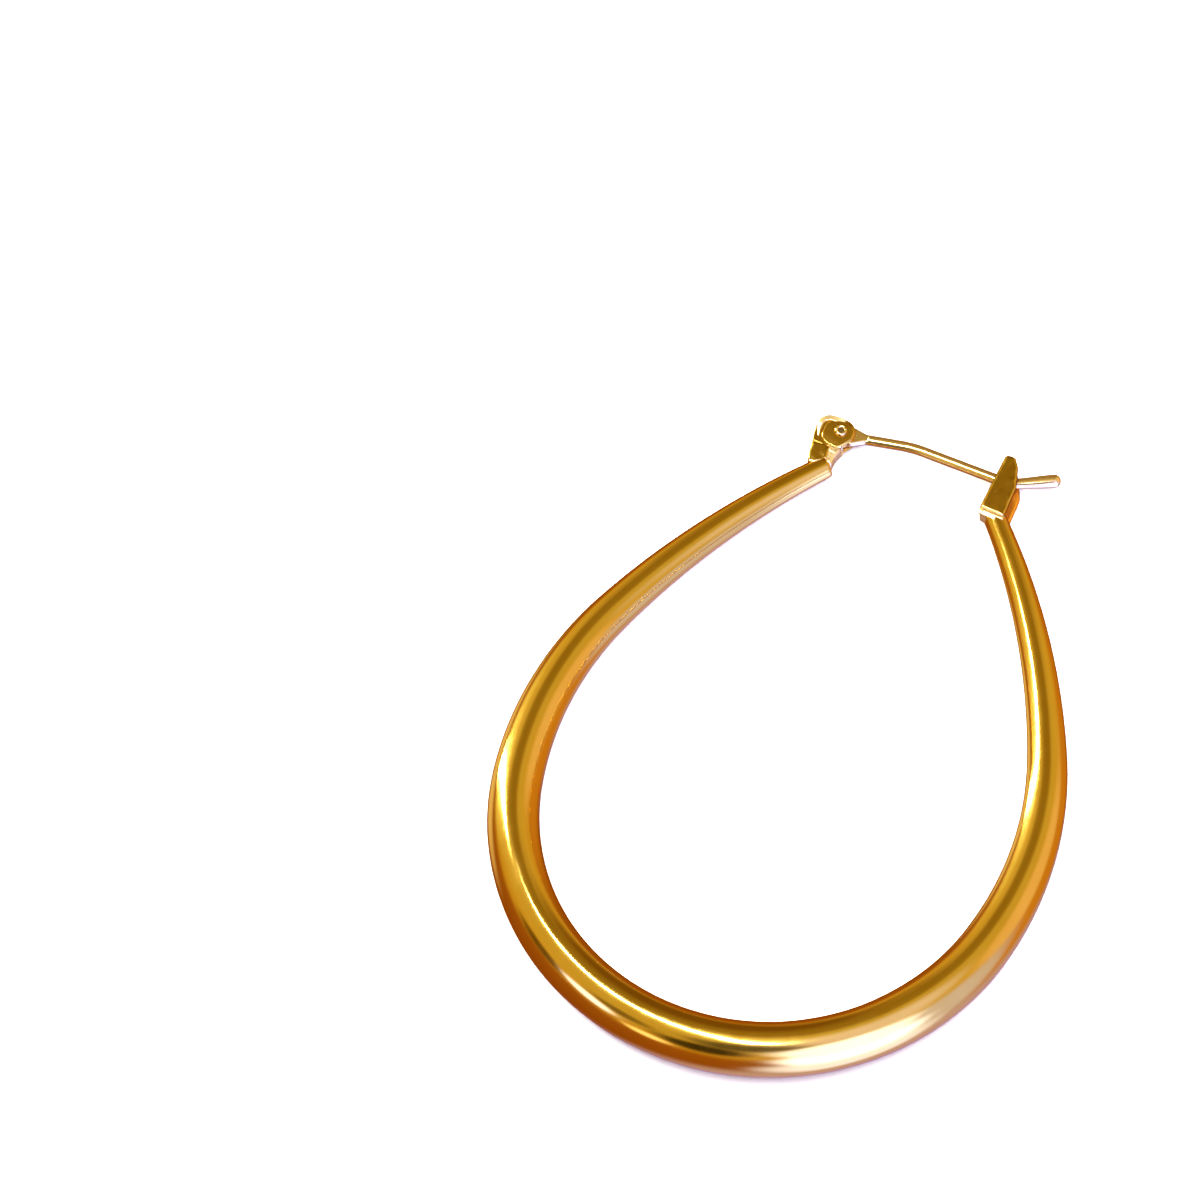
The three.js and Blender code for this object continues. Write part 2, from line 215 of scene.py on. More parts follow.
def points_at(path: np.ndarray, where: np.ndarray) -> np.ndarray:
    """Points of a path.

    Args:
        path: count x 2 points.
        where: Distances from its start, millimetres.

    Returns:
        A point for each distance.
    """
    reach = lengths(path)
    return np.stack([np.interp(where, reach, path[:, k]) for k in range(2)], axis=1)
def rounded_outline(corners: list[Corner], count: int) -> np.ndarray:
    """A closed outline through corners that are each rounded by an arc, spread evenly along its length.

    The arc of a corner touches both of its sides at radius x tan(half of the turn) from the corner.

    Args:
        corners: x, y and radius of each corner, anticlockwise, millimetres.
        count: Number of points.

    Returns:
        count x 2 points, anticlockwise.
    """
    pieces = []
    spots = np.array([c[:2] for c in corners])
    for k, (x, y, radius) in enumerate(corners):
        spot = np.array([x, y])
        before = spots[k - 1] - spot
        after = spots[(k + 1) % len(spots)] - spot
        before, after = before / np.linalg.norm(before), after / np.linalg.norm(after)
        half = math.acos(np.clip(before @ after, -1, 1)) / 2
        reach = radius / math.tan(half)
        centre = spot + (before + after) / np.linalg.norm(before + after) * radius / math.sin(half)
        start, end = spot + before * reach - centre, spot + after * reach - centre
        first = math.atan2(start[1], start[0])
        sweep = (math.atan2(end[1], end[0]) - first + math.pi) % (2 * math.pi) - math.pi
        angles = first + sweep * np.linspace(0, 1, 24)
        pieces.append(centre + radius * np.stack([np.cos(angles), np.sin(angles)], axis=1))
    loop = np.concatenate(pieces + [pieces[0][:1]])
    return points_at(loop, np.linspace(0, lengths(loop)[-1], count, endpoint=False))


def left_of(along: np.ndarray) -> np.ndarray:
    """Unit vectors to the left of directions.

    Args:
        along: count x 2 directions of any length.

    Returns:
        count x 2 vectors.
    """
    return np.stack([-along[:, 1], along[:, 0]], axis=1) / np.linalg.norm(along, axis=1, keepdims=True)


def swept(spots: np.ndarray, out: np.ndarray, across: np.ndarray, up: np.ndarray) -> np.ndarray:
    """A section carried along a path.

    Args:
        spots: count x 2 points of the path.
        out: count x 2 directions across it.
        across: Rows x columns, how far each point lies out.
        up: Rows x columns, how high it lies.

    Returns:
        Rows x columns x 3 points.
    """
    flat = spots[:, None, :] + across[:, :, None] * out[:, None, :]
    return np.concatenate([flat, up[:, :, None]], axis=2)


@dataclass(frozen=True)
class Plate:
    """A flat piece with eased edges between two heights, from an outline that its heart can see all of."""
    outline: np.ndarray
    heart: Spot | None
    low: float
    high: float
    edge: float = 0.09
    crown: float = 0.0
    dents: float = 0.0
    seed: int = 1

    def grid(self) -> np.ndarray:
        """The surface as a function of the place round the outline and the way from face to face.

        Faces run from the heart, or else the outline's middle, to the outline drawn in by the edge. The
        edges are quarter circles, and the walls are upright. The crown lifts the upper face into a round
        dome over the heart.

        Returns:
            Rows x columns x 3 points.
        """
        heart = self.outline.mean(axis=0) if self.heart is None else np.array(self.heart)
        after, before = np.roll(self.outline, -1, axis=0), np.roll(self.outline, 1, axis=0)
        into = left_of(after - before) * self.edge
        shares = np.array(RING_SHARES)[:, None, None]
        rings = heart * (1 - shares) + (self.outline + into) * shares
        distance = np.linalg.norm(rings - heart, axis=2)
        upper = self.high + self.crown * (1 - (distance / distance[-1].max()) ** 2)
        quarter = np.linspace(0, math.pi / 2, 9)
        edge = self.outline + into * (1 - np.sin(quarter))[:, None, None]
        rounding = self.edge * (1 - np.cos(quarter))[:, None] * np.ones(len(self.outline))
        flat = np.concatenate([rings[:-1], edge, edge[::-1], rings[-2::-1]])
        height = np.concatenate([upper[:-1], upper[-1] - rounding, self.low + rounding[::-1],
                                 np.full_like(upper[:-1], self.low)])
        points = np.concatenate([flat, height[:, :, None]], axis=2)
        bump = ripple(points, DENT_LENGTH, self.seed) * self.dents
        return points + bump[:, :, None] * np.array(DENT_PUSH)

    def put(self, name: str, side: int = 1) -> Thing:
        """Makes the plate.

        Args:
            name: Name of the object.
            side: 1, or -1 for its mirror image below the plane of the hoop.

        Returns:
            The object.
        """
        return put_mesh(name, self.grid() * [1, 1, side])


@dataclass(frozen=True)
class Strip:
    """A flat strip carried along a path, leaning more or less to its outer side, on the left of the path."""
    path: np.ndarray
    width: float
    thick: float
    leans: tuple[float, ...]
    heights: tuple[float, ...]
    rows: int = 60
    round_share: float = 0.06

    def put(self, name: str) -> Thing:
        """Makes the strip, with rounded ends.

        Args:
            name: Name of the object.

        Returns:
            The object.
        """
        share = np.linspace(0, 1, self.rows)
        spot = points_at(self.path, share * lengths(self.path)[-1])
        out = left_of(np.gradient(spot, axis=0))
        stops = np.linspace(0, 1, len(self.leans))
        lean = np.radians(np.interp(share, stops, self.leans))[:, None]
        height = np.interp(share, stops, self.heights)[:, None]
        half, low = self.width / 2, self.thick / 2
        section = rounded_outline([(half * a, low * b, low * 0.6)
                                   for a, b in ((1, 1), (-1, 1), (-1, -1), (1, -1))], 40)
        from_end = np.minimum(share, 1 - share) / self.round_share
        ends = np.sqrt(1 - np.clip(1 - from_end, 0, 0.98) ** 2)[:, None]
        across = (section[:, 0] * np.cos(lean) + section[:, 1] * np.sin(lean)) * ends
        up = height + (section[:, 1] * np.cos(lean) - section[:, 0] * np.sin(lean)) * ends
        return put_mesh(name, swept(spot, out, across, up))


@dataclass(frozen=True)
class Arm:
    """One arm of the centreline: three tangent arcs from the lowest point up to where x reaches end_x."""
    end_x: float
    bowl_radius: float = 17.45
    bowl_turn: float = 78.0
    shoulder_radius: float = 24.5
    shoulder_turn: float = 34.3
    leg_radius: float = 58.0

    def arcs(self) -> list[tuple[float, float, float, float, float]]:
        """Centre x, centre y, radius, first and last heading of each arc.

        Returns:
            The arcs in order from the lowest point.
        """
        rows = [(self.bowl_radius, self.bowl_turn), (self.shoulder_radius, self.shoulder_turn),
                (self.leg_radius, None)]
        found, heading, x, y = [], 0.0, 0.0, 0.0
        for radius, turn in rows:
            cx, cy = x - radius * math.sin(heading), y + radius * math.cos(heading)
            last = math.pi - math.asin((self.end_x - cx) / radius)
            following = last if turn is None else heading + math.radians(turn)
            found.append((cx, cy, radius, heading, following))
            heading, x, y = following, cx + radius * math.sin(following), cy - radius * math.cos(following)
        return found

    def length(self) -> float:
        """Length of the arm.

        Returns:
            Millimetres.
        """
        return sum(radius * (to - start) for _, _, radius, start, to in self.arcs())

    def end(self) -> Spot:
        """The arm's end.

        Returns:
            x and y.
        """
        cx, cy, radius, _, to = self.arcs()[-1]
        return cx + radius * math.sin(to), cy - radius * math.cos(to)

    def at(self, reach: np.ndarray) -> tuple[np.ndarray, np.ndarray]:
        """Points and headings at distances from the lowest point, straight on past the end.

        Args:
            reach: Distances, millimetres.

        Returns:
            count x 2 points and the headings in radians.
        """
        spots, headings, start = np.zeros((len(reach), 2)), np.zeros(len(reach)), 0.0
        for cx, cy, radius, first, last in self.arcs():
            here = reach >= start
            angle = np.minimum(first + (reach[here] - start) / radius, last)
            over = reach[here] - start - (angle - first) * radius
            spots[here, 0] = cx + radius * np.sin(angle) + over * np.cos(angle)
            spots[here, 1] = cy - radius * np.cos(angle) + over * np.sin(angle)
            headings[here] = angle
            start += radius * (last - first)
        return spots, headings


HINGE_ARM = Arm(end_x=6.35)
CATCH_ARM = Arm(end_x=5.68, leg_radius=54.0)
HINGE_END = (-HINGE_ARM.end()[0], HINGE_ARM.end()[1])
CATCH_END = CATCH_ARM.end()


@dataclass(frozen=True)
class Tube:
    """The teardrop hoop: oval in the bowl, deeper than wide, and slender and round at both ends."""
    width: float = 3.6
    depth: float = 4.6
    end_diameter: float = 1.55
    taper_start: float = 21.0
    taper_power: float = 1.2
    depth_power: float = 0.7
    ease: float = 0.13
    end_round: float = 0.16
    unevenness: float = 0.012
    stations: int = 760
    sides: int = 96

    def halves(self, reach: np.ndarray) -> tuple[np.ndarray, np.ndarray]:
        """Half the width and half the depth at distances from the lowest point, negative on the hinge side.

        The taper sets in gently: it is averaged over a stretch that shrinks towards the ends.

        Args:
            reach: Distances, millimetres.

        Returns:
            Both halves, millimetres.
        """
        length = np.where(reach < 0, HINGE_ARM.length(), CATCH_ARM.length())
        t = (np.abs(reach) - self.taper_start) / (length - self.taper_start)
        spread = self.ease * (1 - smoothstep(t, 0.3, 0.7))
        t = np.clip(t + spread * np.linspace(-1, 1, 25)[:, None], 0, 1)
        width = self.width + (self.end_diameter - self.width) * (t ** self.taper_power).mean(axis=0)
        depth = self.depth + (self.end_diameter - self.depth) * (t ** self.depth_power).mean(axis=0)
        return width / 2, depth / 2

    def grid(self) -> np.ndarray:
        """An ellipse carried along the centreline, drawn in at both ends by a quarter round.

        Returns:
            Rows x columns x 3 points.
        """
        low, high = -HINGE_ARM.length(), CATCH_ARM.length()
        quarter = np.linspace(0, math.pi / 2, 8)
        near, inset = self.end_round * (1 - np.cos(quarter)), self.end_round * (1 - np.sin(quarter))
        middle = np.linspace(low + self.end_round, high - self.end_round, self.stations)[1:-1]
        reach = np.concatenate([low + near, middle, (high - near)[::-1]])
        inset = np.concatenate([inset, np.zeros(len(middle)), inset[::-1]])
        width, depth = (half - inset for half in self.halves(reach))
        hinge, hinge_heading = HINGE_ARM.at(np.maximum(-reach, 0))
        catch, catch_heading = CATCH_ARM.at(np.maximum(reach, 0))
        left = reach < 0
        spot = np.where(left[:, None], hinge * [-1, 1], catch)
        heading = np.where(left, -hinge_heading, catch_heading)
        outward = np.stack([np.sin(heading), -np.cos(heading)], axis=1)
        around = np.linspace(0, 2 * math.pi, self.sides, endpoint=False)
        across = width[:, None] * np.cos(around)
        points = swept(spot, outward, across, depth[:, None] * np.sin(around))
        inner = np.concatenate([spot, np.zeros((len(spot), 1))], axis=1)[:, None, :]
        away = (points - inner) / np.linalg.norm(points - inner, axis=2, keepdims=True)
        uneven = ripple(points, 6.0, 3) * self.unevenness
        return points + away * uneven[:, :, None] * smoothstep(width, 0.6, 1.8)[:, None, None]


@dataclass(frozen=True)
class Hinge:
    """Sizes that the bracket, the eye and the rivet share."""
    rivet_rise: float = 2.5
    eye_radius: float = 0.85
    eye_thickness: float = 0.62
    clearance: float = 0.1
    bore_radius: float = 0.36
    slot_half: float = eye_thickness / 2 + clearance
    rivet: Spot = (HINGE_END[0], HINGE_END[1] + rivet_rise)


HINGE = Hinge()


@dataclass(frozen=True)
class Bracket:
    """Hinge bracket: a strip folded round the eye, with two cheeks, soldered over the tube's end."""
    head_radius: float = 0.97
    cheek: float = 0.32
    web: float = 0.83
    lean: float = 0.4
    corner: float = 0.9
    foot_drop: float = 0.42
    foot_right: float = 0.3
    toe_drop: float = 0.1
    cheek_low_left: float = 1.3
    cheek_low_right: float = 1.5
    ridge_width: float = 0.3
    heel_sink: float = 0.06
    neck_sink: float = 0.12
    band: float = 0.42
    band_leans: tuple[float, ...] = (27, 27, 24, 12, -4, -12)
    band_drops: tuple[float, ...] = (0.34, 0.24, 0.16, 0.13, 0.12, 0.12)
    dome: float = 0.06
    cheek_sink: float = 0.14
    field_sink: float = 0.05
    seam_sink: float = 0.1
    web_overlap: float = 0.06

    def side(self, rise: float) -> float:
        """The leaning outer side of the bracket, upright beside the rivet.

        Args:
            rise: Height over the rivet, millimetres.

        Returns:
            x from the rivet.
        """
        share = min(max(-rise / (HINGE.rivet_rise + self.foot_drop), 0.0), 1.0)
        return self.lean * share - HINGE.eye_radius - HINGE.clearance - self.web

    def corners(self) -> dict[str, list[Corner]]:
        """Corners of every plate's outline: x and y from the rivet, and radius.

        The cheek goes round over the rivet, down the fold, and is cut off aslant above the base. The field
        is the raised part of the cheek, inside its folded band. The seam is a low ridge along the cheek's
        lower edge. The web stands between the cheeks, on the outer side of the eye. The heel is the block
        on the outer side of the tube's end, and the neck runs down into that end.

        Returns:
            The corners of each plate, anticlockwise.
        """
        head, low, right = self.head_radius, -self.cheek_low_left, -self.cheek_low_right
        end, face = -HINGE.rivet_rise, -HINGE.eye_radius - HINGE.clearance
        foot, toe = end - self.foot_drop, end - self.toe_drop
        side, ridge = self.side, self.ridge_width
        return {
            "cheek": [(head, head, head * 0.97), (side(0), head, self.corner), (side(0), -0.2, 0.3),
                      (side(low), low, 0.25), (0.15, right, 0.25), (0.72, -0.72, 0.35), (head, -0.35, 0.4)],
            "field": [(head - 0.03, head - 0.2, 0.78), (-1.22, head - 0.2, 0.8), (-1.18, low + 0.2, 0.75),
                      (0.15, right + 0.12, 0.65), (0.70, -0.70, 0.35), (head - 0.03, -0.35, 0.4)],
            "seam": [(0.3, right + 0.04, 0.08), (side(low) + 0.03, low, 0.08),
                     (side(low) + 0.05, low - ridge, 0.1), (0.26, right - ridge + 0.04, 0.1)],
            "web": [(face, head * 0.72, 0.2), (side(0) + 0.01, head * 0.9, 0.6), (side(0) + 0.01, -0.2, 0.1),
                    (side(end) + 0.02, end, 0.1), (face, end, 0.1)],
            "heel": [(-0.2, low, 0.1), (side(low) + 0.02, low, 0.1), (side(foot) + 0.02, foot, 0.3),
                     (-0.85, foot, 0.14), (-0.15, end + 0.22, 0.12)],
            "neck": [(0.5, face, 0.1), (-0.6, face, 0.1), (-0.6, toe - 0.1, 0.2),
                     (self.foot_right, toe, 0.16), (self.foot_right, -2.0, 0.3), (0.6, -0.9, 0.2)],
        }

    def plate(self, piece: str, count: int, heart: Spot | None, low: float, high: float,
              **form: float) -> Plate:
        """One of the bracket's plates.

        Args:
            piece: Which of the corners it has.
            count: Points of its outline.
            heart: Its heart from the rivet, or None for the outline's middle.
            low: Its lower height.
            high: Its upper height.
            form: Edge, crown, dents and seed.

        Returns:
            The plate.
        """
        x, y = HINGE.rivet
        corners = [(x + cx, y + cy, radius) for cx, cy, radius in self.corners()[piece]]
        middle = heart and (x + heart[0], y + heart[1])
        return Plate(rounded_outline(corners, count), middle, low, high, **form)

    def band_path(self) -> np.ndarray:
        """The middle of the folded band, from the lower left up and over the head.

        Returns:
            Path points.
        """
        x, y = HINGE.rivet
        inside = self.band / 2 + 0.02
        corner = self.corner - inside
        centre = [x + self.side(0) + self.corner, y + self.head_radius - self.corner]
        turn = np.linspace(math.pi, math.pi / 2, 30)
        arc = centre + corner * np.stack([np.cos(turn), np.sin(turn)], axis=1)
        start = [[x + self.side(-1.1) + inside, y - 1.1], [x + self.side(0) + inside, y - 0.3]]
        return np.concatenate([start, arc, [[x + 0.05, y + self.head_radius - inside]]])

    def put(self) -> list[Thing]:
        """Makes cheeks with their fields and seams, the folded band, the foot's seam, web, heel and neck.

        Returns:
            The objects.
        """
        x, y = HINGE.rivet
        inner, outer = HINGE.slot_half, HINGE.slot_half + self.cheek
        things = []
        for name, side, seed in (("front", 1, 5), ("back", -1, 6)):
            cheek = self.plate("cheek", 240, (-0.2, -0.2), inner, outer - self.cheek_sink, dents=0.008,
                               seed=seed)
            field = self.plate("field", 240, (-0.1, -0.1), inner + self.field_sink, outer - self.dome,
                               edge=0.13, crown=self.dome, dents=0.012, seed=seed)
            seam = self.plate("seam", 120, None, inner, outer - self.seam_sink, crown=0.04,
                              dents=0.012, seed=seed)
            things += [plate.put(f"bracket_{kind}_{name}", side)
                       for kind, plate in (("cheek", cheek), ("field", field), ("seam", seam))]
        band = Strip(self.band_path(), self.band, 0.2, self.band_leans,
                     tuple(outer - drop for drop in self.band_drops))
        foot = -HINGE.rivet_rise - self.foot_drop
        base = Strip(np.array([[x - 0.35, y - HINGE.rivet_rise + 0.02], [x - 0.9, y + foot + 0.12],
                               [x + self.side(foot) + 0.12, y + foot + 0.1]]), 0.2, 0.16,
                     (30, 30), (outer - 0.12,) * 2)
        web = self.plate("web", 140, (self.side(0) + self.web / 2, -0.7), -inner - self.web_overlap,
                         inner + self.web_overlap, edge=0.02)
        heel = self.plate("heel", 160, (-0.75, -2.0), self.heel_sink - outer, outer - self.heel_sink,
                          edge=0.17, crown=0.03, dents=0.022, seed=8)
        neck = self.plate("neck", 160, (0.0, -1.8), self.neck_sink - outer, outer - self.neck_sink,
                          edge=0.24, dents=0.015, seed=9)
        return things + [band.put("bracket_seam_fold"), base.put("bracket_seam_foot"), web.put("bracket_web"),
                         heel.put("bracket_heel"), neck.put("bracket_neck")]


@dataclass(frozen=True)
class Catch:
    """Catch: a folded strip with a floor, a web with an open slot for the wire, and two fingers."""
    sheet: float = 0.3
    floor: float = 0.5
    reach_left: float = 1.08
    reach_right: float = 0.74
    shoulder: float = 2.2
    lean: float = 0.14
    finger_width: float = 1.15
    finger_rise: float = 1.6
    wire_rise: float = 2.76
    side_clearance: float = 0.12
    floor_clearance: float = 0.12
    lip: float = 0.1
    edge: float = 0.2
    back_reach: float = 0.26
    floor_sink: float = 0.16
    tab_drop: float = 0.24
    solder_size: float = 0.17
    foot: float = CATCH_END[1] - 0.25
    wire_y: float = CATCH_END[1] + wire_rise

    def left(self, y: float) -> float:
        """The leaning inner side of the catch.

        Args:
            y: Height along the earring.

        Returns:
            x.
        """
        return CATCH_END[0] - self.reach_left + self.lean / self.wire_rise * (y - self.foot)

    def cheek_outline(self, reach: float) -> np.ndarray:
        """Broad foot, shoulder on the outer side, finger rising past the wire.

        Args:
            reach: How far it reaches past the middle of the tube's end, millimetres.

        Returns:
            Outline points.
        """
        top, foot = self.wire_y + self.finger_rise, self.foot + 0.22
        right = CATCH_END[0] + reach
        return rounded_outline([
            (self.left(top) + self.finger_width * 0.62, top, 0.26),
            (self.left(top), top, 0.3),
            (self.left(foot), foot, 0.12),
            (right, foot - 0.1, 0.15),
            (right, CATCH_END[1] + self.shoulder, 0.7),
            (self.left(top) + self.finger_width, self.wire_y + 0.9, 0.35),
        ], 240)

    def bar_outline(self, low: float, high: float, out: float, right: float) -> np.ndarray:
        """A leaning bar along the inner side.

        Args:
            low: Lower y.
            high: Upper y.
            out: How far it stands out to the inner side.
            right: x of its other side at the foot, kept parallel.

        Returns:
            Outline points.
        """
        shift = self.lean / self.wire_rise * (high - low)
        return rounded_outline([
            (right + shift, high, 0.04), (self.left(high) - out, high, 0.04),
            (self.left(low) - out, low, 0.04), (right, low, 0.04)], 96)

    def put(self) -> list[Thing]:
        """Makes cheeks and lips, the web, the seams of the foot's edge and floor, the tab and the solder.

        Returns:
            The objects.
        """
        slot = max(WIRE.diameter, WIRE.tip_diameter) / 2 + self.side_clearance
        gap, outer = slot + self.lip, slot + self.lip + self.sheet
        slot_floor = self.wire_y - WIRE.diameter / 2 - self.floor_clearance
        foot, inner_side = self.foot, self.left(self.foot)
        heart = (self.left(self.wire_y) + self.finger_width * 0.55, self.wire_y - 0.9)
        lip_outline = self.bar_outline(slot_floor - 0.2, self.wire_y + 0.9, -0.02,
                                       self.left(slot_floor) + self.sheet)
        things = []
        for name, side, seed in (("front", 1, 11), ("back", -1, 12)):
            reach = self.reach_right + (self.back_reach if side < 0 else 0.0)
            cheek = Plate(self.cheek_outline(reach), heart, gap - 0.01, outer - 0.02, edge=self.edge,
                          dents=0.03, seed=seed)
            lip = Plate(lip_outline, None, slot, gap + 0.08, edge=0.05)
            things += [cheek.put(f"catch_cheek_{name}", side), lip.put(f"catch_lip_{name}", side)]
        web_outline = self.bar_outline(foot + 0.1, slot_floor, -0.01, inner_side + self.sheet)
        web = Plate(web_outline, None, -gap - 0.06, gap + 0.06, edge=0.04)
        right = CATCH_END[0] + self.reach_right
        edge = Strip(np.array([[right - 0.1, foot + 0.18], [inner_side + 0.1, foot + 0.3]]), 0.2, 0.14,
                     (30, 30), (outer - 0.02,) * 2)
        floor_outline = rounded_outline([
            (right - 0.04, foot + self.floor, 0.06), (inner_side + 0.05, foot + self.floor, 0.06),
            (inner_side + 0.04, foot, 0.1), (right, foot - 0.12, 0.1)], 120)
        floor = Plate(floor_outline, None, self.floor_sink - outer, outer - self.floor_sink, edge=0.12,
                      dents=0.012, seed=14)
        tab = Strip(np.array([[right - 0.5, foot - 0.14], [inner_side - 0.14, foot - 0.02]]), 0.26, 0.2,
                    (20, 20), (outer - self.tab_drop,) * 2)
        spot = (CATCH_END[0] + 0.42, foot - 0.3)
        blob = rounded_outline([(spot[0] + self.solder_size * a, spot[1] + self.solder_size * b, 0.165)
                                for a, b in ((1, 1), (-1, 1), (-1, -1), (1, -1))], 60)
        solder = Plate(blob, spot, 0.2, 0.74, edge=0.1, crown=0.05)
        return things + [web.put("catch_web"), edge.put("catch_seam_edge"), floor.put("catch_seam_floor"),
                         tab.put("catch_seam_tab"), solder.put("catch_seam_spot")]


@dataclass(frozen=True)
class Wire:
    """Ear wire: eye and flared neck, a kinked span and a raised blunt tip."""
    diameter: float = 0.72
    tip_diameter: float = 0.92
    tip_length: float = 3.45
    tip_angle: float = 26.0
    kink_share: float = 0.57
    kink_rise: float = 0.6
    bend_length: float = 0.9
    neck_start: float = 0.6
    neck_radius: float = 0.7
    neck_length: float = 1.3
    bend_offset: float = 0.09

    def corners(self) -> np.ndarray:
        """Eye, kink, seat in the catch, bend and tip.

        Returns:
            5 x 2 points.
        """
        catch = Catch()
        eye = np.array(HINGE.rivet)
        seat = np.array([CATCH_END[0] - catch.reach_left + catch.sheet + catch.lean, catch.wire_y])
        bend = np.array([CATCH_END[0] + self.bend_offset, catch.wire_y])
        kink = seat + (eye - seat) * self.kink_share + [0, self.kink_rise]
        angle = math.radians(self.tip_angle)
        tip = bend + self.tip_length * np.array([math.cos(angle), math.sin(angle)])
        return np.array([eye, kink, seat, bend, tip])

    def path(self) -> np.ndarray:
        """Straight stretches joined by parabolas that touch both sides of each corner.

        Returns:
            Closely spaced points.
        """
        spots = self.corners()
        stretches = [spots[:1]]
        for before, corner, after in zip(spots, spots[1:], spots[2:]):
            back, on = np.linalg.norm(before - corner), np.linalg.norm(after - corner)
            room = min(self.bend_length, back / 2, on / 2)
            start, end = corner + (before - corner) * room / back, corner + (after - corner) * room / on
            t = np.linspace(0, 1, 40)[:, None]
            stretches.append((1 - t) ** 2 * start + 2 * t * (1 - t) * corner + t ** 2 * end)
        return np.concatenate(stretches + [spots[-1:]])

    def grid(self) -> np.ndarray:
        """A circle carried along the path, pressed flat at the eye and rounded off at the tip.

        The height is pressed by a sixth power mean against half of the eye's thickness.

        Returns:
            Rows x columns x 3 points.
        """
        path = self.path()
        length, round_end = lengths(path)[-1], self.tip_diameter / 2
        cap = length - round_end * (1 - np.sin(np.linspace(0, math.pi / 2, 16)))[1:-1]
        s = np.concatenate([np.linspace(self.neck_start, length - round_end, 300), cap])
        spot = points_at(path, s)
        across = -left_of(points_at(path, s + 0.05) - points_at(path, s - 0.05))
        neck = 1 - smoothstep(s, self.neck_start, self.neck_start + self.neck_length)
        tip = smoothstep(s, length - self.tip_length, length - round_end)
        radius = self.diameter / 2 + neck * (self.neck_radius - self.diameter / 2)
        radius = radius + tip * (self.tip_diameter - self.diameter) / 2
        past = np.clip((s - (length - round_end)) / round_end, 0, 1)
        radius = radius * np.sqrt(1 - past ** 2)
        around = np.linspace(0, 2 * math.pi, 40, endpoint=False)
        up = radius[:, None] * np.sin(around)
        half = HINGE.eye_thickness / 2
        pressed = up / (1 + (np.abs(up) / half) ** 6) ** (1 / 6)
        up = up + (pressed - up) * (neck > 0)[:, None]
        return swept(spot, across, radius[:, None] * np.cos(around), up)

    def eye_grid(self) -> np.ndarray:
        """A ring with a rounded rectangular section, turned about the rivet.

        Returns:
            Rows x columns x 3 points.
        """
        half, edge = HINGE.eye_thickness / 2, 0.1
        section = rounded_outline([
            (HINGE.eye_radius, half, edge), (HINGE.bore_radius, half, edge * 0.5),
            (HINGE.bore_radius, -half, edge * 0.5), (HINGE.eye_radius, -half, edge)], 60)
        return turned(section, HINGE.rivet, 96)

    def put(self) -> list[Thing]:
        """Makes the wire and its eye.

        Returns:
            The objects.
        """
        return [put_mesh("wire_span", self.grid()), put_mesh("wire_eye", self.eye_grid(), Ends.RING)]


def turned(section: np.ndarray, centre: Spot, steps: int) -> np.ndarray:
    """A closed section turned about an axis along z.

    Args:
        section: count x 2 points, distance from the axis and height.
        centre: x and y of the axis.
        steps: Steps round the axis.

    Returns:
        steps x count x 3 points.
    """
    angles = np.linspace(0, 2 * math.pi, steps, endpoint=False)[:, None]
    x = centre[0] + np.cos(angles) * section[None, :, 0]
    y = centre[1] + np.sin(angles) * section[None, :, 0]
    z = np.broadcast_to(section[None, :, 1], x.shape)
    return np.stack([x, y, z], axis=2)


WIRE = Wire()


@dataclass(frozen=True)
class Rivet:
    """Tubular rivet: a shank with a rolled, dished head at each end."""
    diameter: float = 0.6
    head_diameter: float = 0.86
    head_height: float = 0.14
    dimple_diameter: float = 0.36
    dimple_depth: float = 0.5
    well_radius: float = dimple_diameter / 2 * 0.98
    # Painted shade: a dark disc this far under the top of each head stands for the rivet's hollow bore.
    painted_shade_depth: float = 0.14
    clearance: float = 0.06

    def top(self) -> float:
        """The top of the rolled rim.

        Returns:
            Height over the middle of the hoop's plane, millimetres.
        """
        return HINGE.slot_half + Bracket().cheek + self.clearance + self.head_height

    def grid(self) -> np.ndarray:
        """The outline of one half, mirrored and turned about the axis.

        The rolled rim is a half circle over the head, and the dish is a well inside it.

        Returns:
            Rows x columns x 3 points.
        """
        top, seat = self.top(), self.top() - self.head_height
        head, dish, shank = self.head_diameter / 2, self.dimple_diameter / 2, self.diameter / 2
        middle, half = (head + dish) / 2, (head - dish) / 2
        angle = np.linspace(0, math.pi, 22)[1:-1]
        dip = np.linspace(0, math.pi / 2, 10)[1:]
        low = top - self.dimple_depth
        well = np.stack([self.well_radius * np.sin(dip), low - 0.02 * np.cos(dip)], axis=1)
        rim = np.stack([middle - half * np.cos(angle), seat + self.head_height * np.sin(angle)], axis=1)
        stem = np.array([[head, seat], [shank, seat - 0.01], [shank, 0.2]])
        profile = np.concatenate([well, rim, stem])
        profile = np.concatenate([profile, (profile * [1, -1])[::-1]])
        return turned(profile, HINGE.rivet, 64).swapaxes(0, 1)

    def painted_shade_grid(self) -> np.ndarray:
        """A dark disc at the bottom of both dishes: painted shade for the rivet's hollow bore.

        Returns:
            Rows x columns x 3 points.
        """
        face, centre = self.top() - self.painted_shade_depth, HINGE.rivet
        outline = turned(np.array([[self.well_radius, 0.0]]), centre, 48)[:, 0, :2]
        return Plate(outline, centre, -face, face, edge=0.02).grid()


def add_node(tree: Tree, kind: str, inputs: dict[str | int, object],
             **settings: object) -> bpy.types.Node:
    """Adds a shader node to a tree.

    Args:
        tree: The tree.
        kind: Type of the node, without the word ShaderNode.
        inputs: By name or place, a socket to link to the input or the input's value.
        settings: Settings of the node itself.

    Returns:
        The node.
    """
    node = tree.nodes.new("ShaderNode" + kind)
    for key, value in settings.items():
        setattr(node, key, value)
    for key, value in inputs.items():
        if isinstance(value, Socket):
            tree.links.new(value, node.inputs[key])
        else:
            node.inputs[key].default_value = value
    return node


